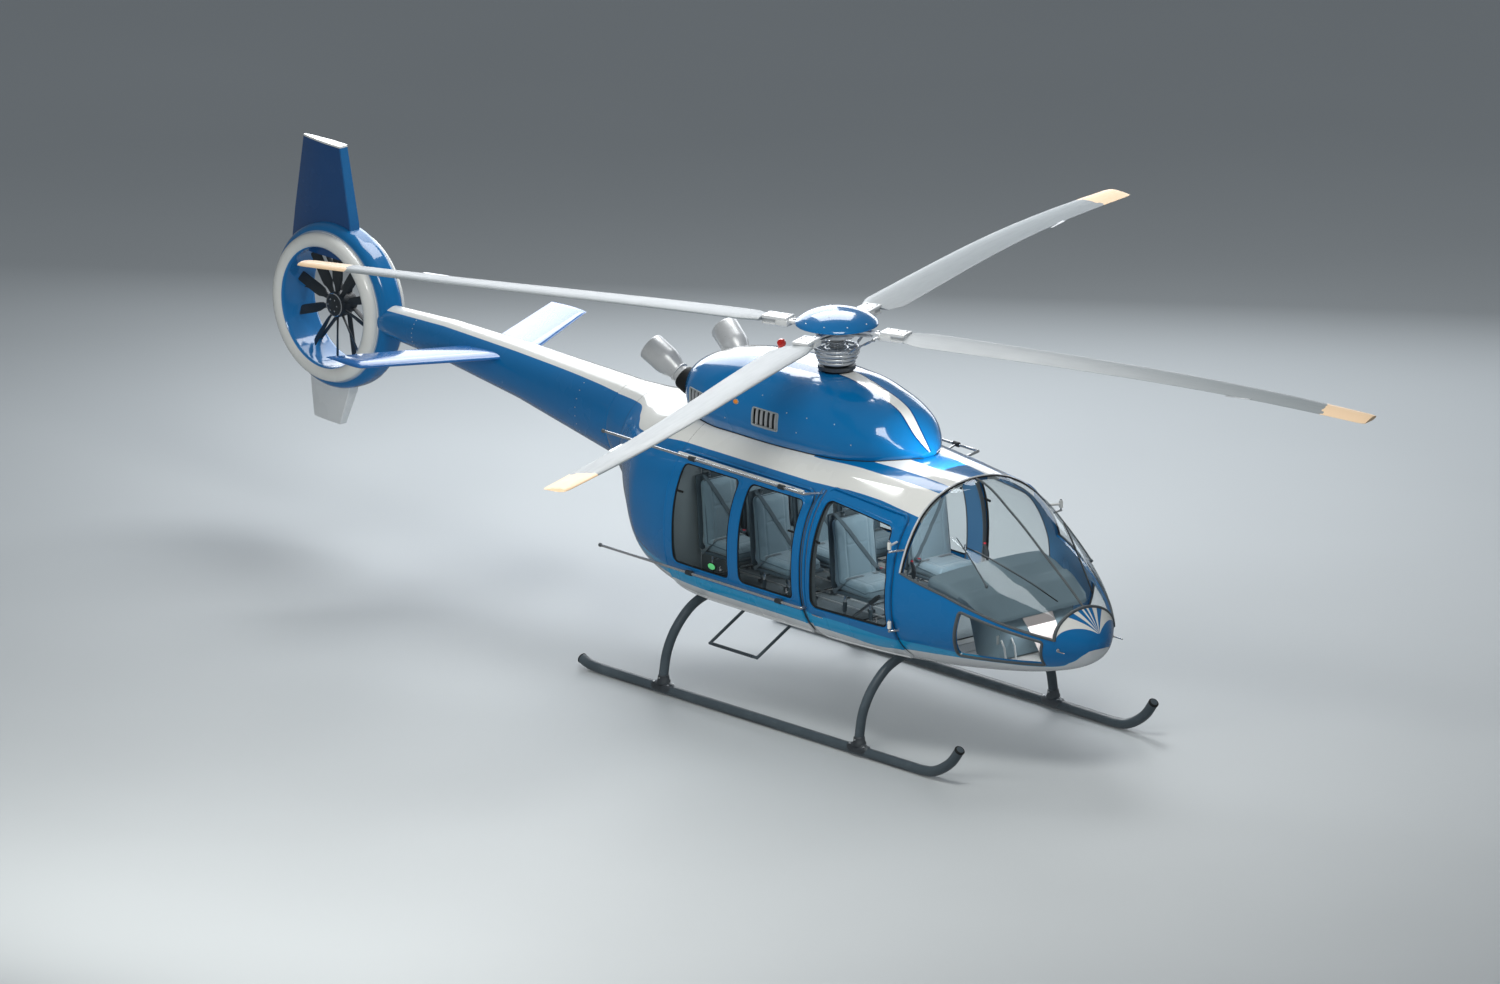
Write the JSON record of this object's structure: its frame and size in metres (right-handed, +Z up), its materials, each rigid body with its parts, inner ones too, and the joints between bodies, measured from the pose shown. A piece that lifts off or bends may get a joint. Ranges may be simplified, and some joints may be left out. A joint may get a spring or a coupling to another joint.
{
  "type": "helicopter",
  "caption": "Light twin-engined passenger helicopter on skids, with a four-bladed rotor, a shrouded tail fan, hinged front doors and sliding rear doors.",
  "frame": {"origin": "middle of the footprint, on the ground under the skids", "axes": "+X forward, +Y to port, +Z up"},
  "size_m": [12.1225, 9.815, 3.5178],
  "materials": {
    "blue_paint": "gloss",
    "white_paint": "gloss",
    "pale_grey_paint": "satin",
    "silver_paint": "satin",
    "polished_metal": "polished",
    "cast_metal": "matt",
    "grey_cloth": "matt",
    "dark_floor": "matt",
    "black_paint": "satin",
    "red_lens": "gloss",
    "tinted_glass": "gloss"
  },
  "bodies": {
    "airframe": {"belly_shell": "silver_paint", "roof_shell": "pale_grey_paint", "door_frame_right": "blue_paint", "door_frame_left": "blue_paint", "rear_shell": "blue_paint", "nose_shell": "blue_paint", "nose_cap": "blue_paint", "windshield_right": "tinted_glass", "windshield_left": "tinted_glass", "chin_window_right": "tinted_glass", "chin_window_left": "tinted_glass", "cabin_floor": "dark_floor", "instrument_panel": "black_paint", "seats_front": "grey_cloth", "seats_middle": "grey_cloth", "seats_rear": "grey_cloth", "engine_cowl": "blue_paint", "engine_and_gearbox": "cast_metal", "exhaust_right": "polished_metal", "exhaust_left": "polished_metal", "beacon": "red_lens", "tail_boom": "white_paint", "stabiliser": "blue_paint", "tail_shroud": "blue_paint", "skid_right": "black_paint", "skid_left": "black_paint", "cross_tube_front": "black_paint", "cross_tube_rear": "black_paint", "step_right": "black_paint", "step_left": "black_paint"},
    "main_rotor": {"rotor_hub": "polished_metal", "rotor_cap": "blue_paint", "rotor_blade_front": "pale_grey_paint", "rotor_blade_left": "pale_grey_paint", "rotor_blade_rear": "pale_grey_paint", "rotor_blade_right": "pale_grey_paint"},
    "tail_fan": {"tail_fan": "black_paint"},
    "front_door_right": {"front_door_right": "blue_paint", "front_door_glass_right": "tinted_glass"},
    "front_door_left": {"front_door_left": "blue_paint", "front_door_glass_left": "tinted_glass"},
    "sliding_door_right": {"sliding_door_right": "blue_paint", "sliding_door_glass_right": "tinted_glass"},
    "sliding_door_left": {"sliding_door_left": "blue_paint", "sliding_door_glass_left": "tinted_glass"}
  },
  "joints": [
    {"name": "main_rotor_spin", "type": "hinge", "parent": "airframe", "child": "main_rotor", "pos_m": [1.15, 0, 3.28], "axis": [0, 0, 1], "continuous": true},
    {"name": "tail_fan_spin", "type": "hinge", "parent": "airframe", "child": "tail_fan", "pos_m": [-5.33, -0.02, 2.085], "axis": [0, 1, 0], "continuous": true},
    {"name": "front_door_right_hinge", "type": "hinge", "parent": "airframe", "child": "front_door_right", "pos_m": [2.95, -0.985, 1.55], "axis": [0, 0, 1], "range_deg": [0, 80]},
    {"name": "front_door_left_hinge", "type": "hinge", "parent": "airframe", "child": "front_door_left", "pos_m": [2.95, 0.985, 1.55], "axis": [0, 0, -1], "range_deg": [0, 80]},
    {"name": "sliding_door_right_slide", "type": "slide", "parent": "airframe", "child": "sliding_door_right", "axis": [-1, 0, 0], "range_m": [0, 1.05]},
    {"name": "sliding_door_left_slide", "type": "slide", "parent": "airframe", "child": "sliding_door_left", "axis": [-1, 0, 0], "range_m": [0, 1.05]}
  ]
}
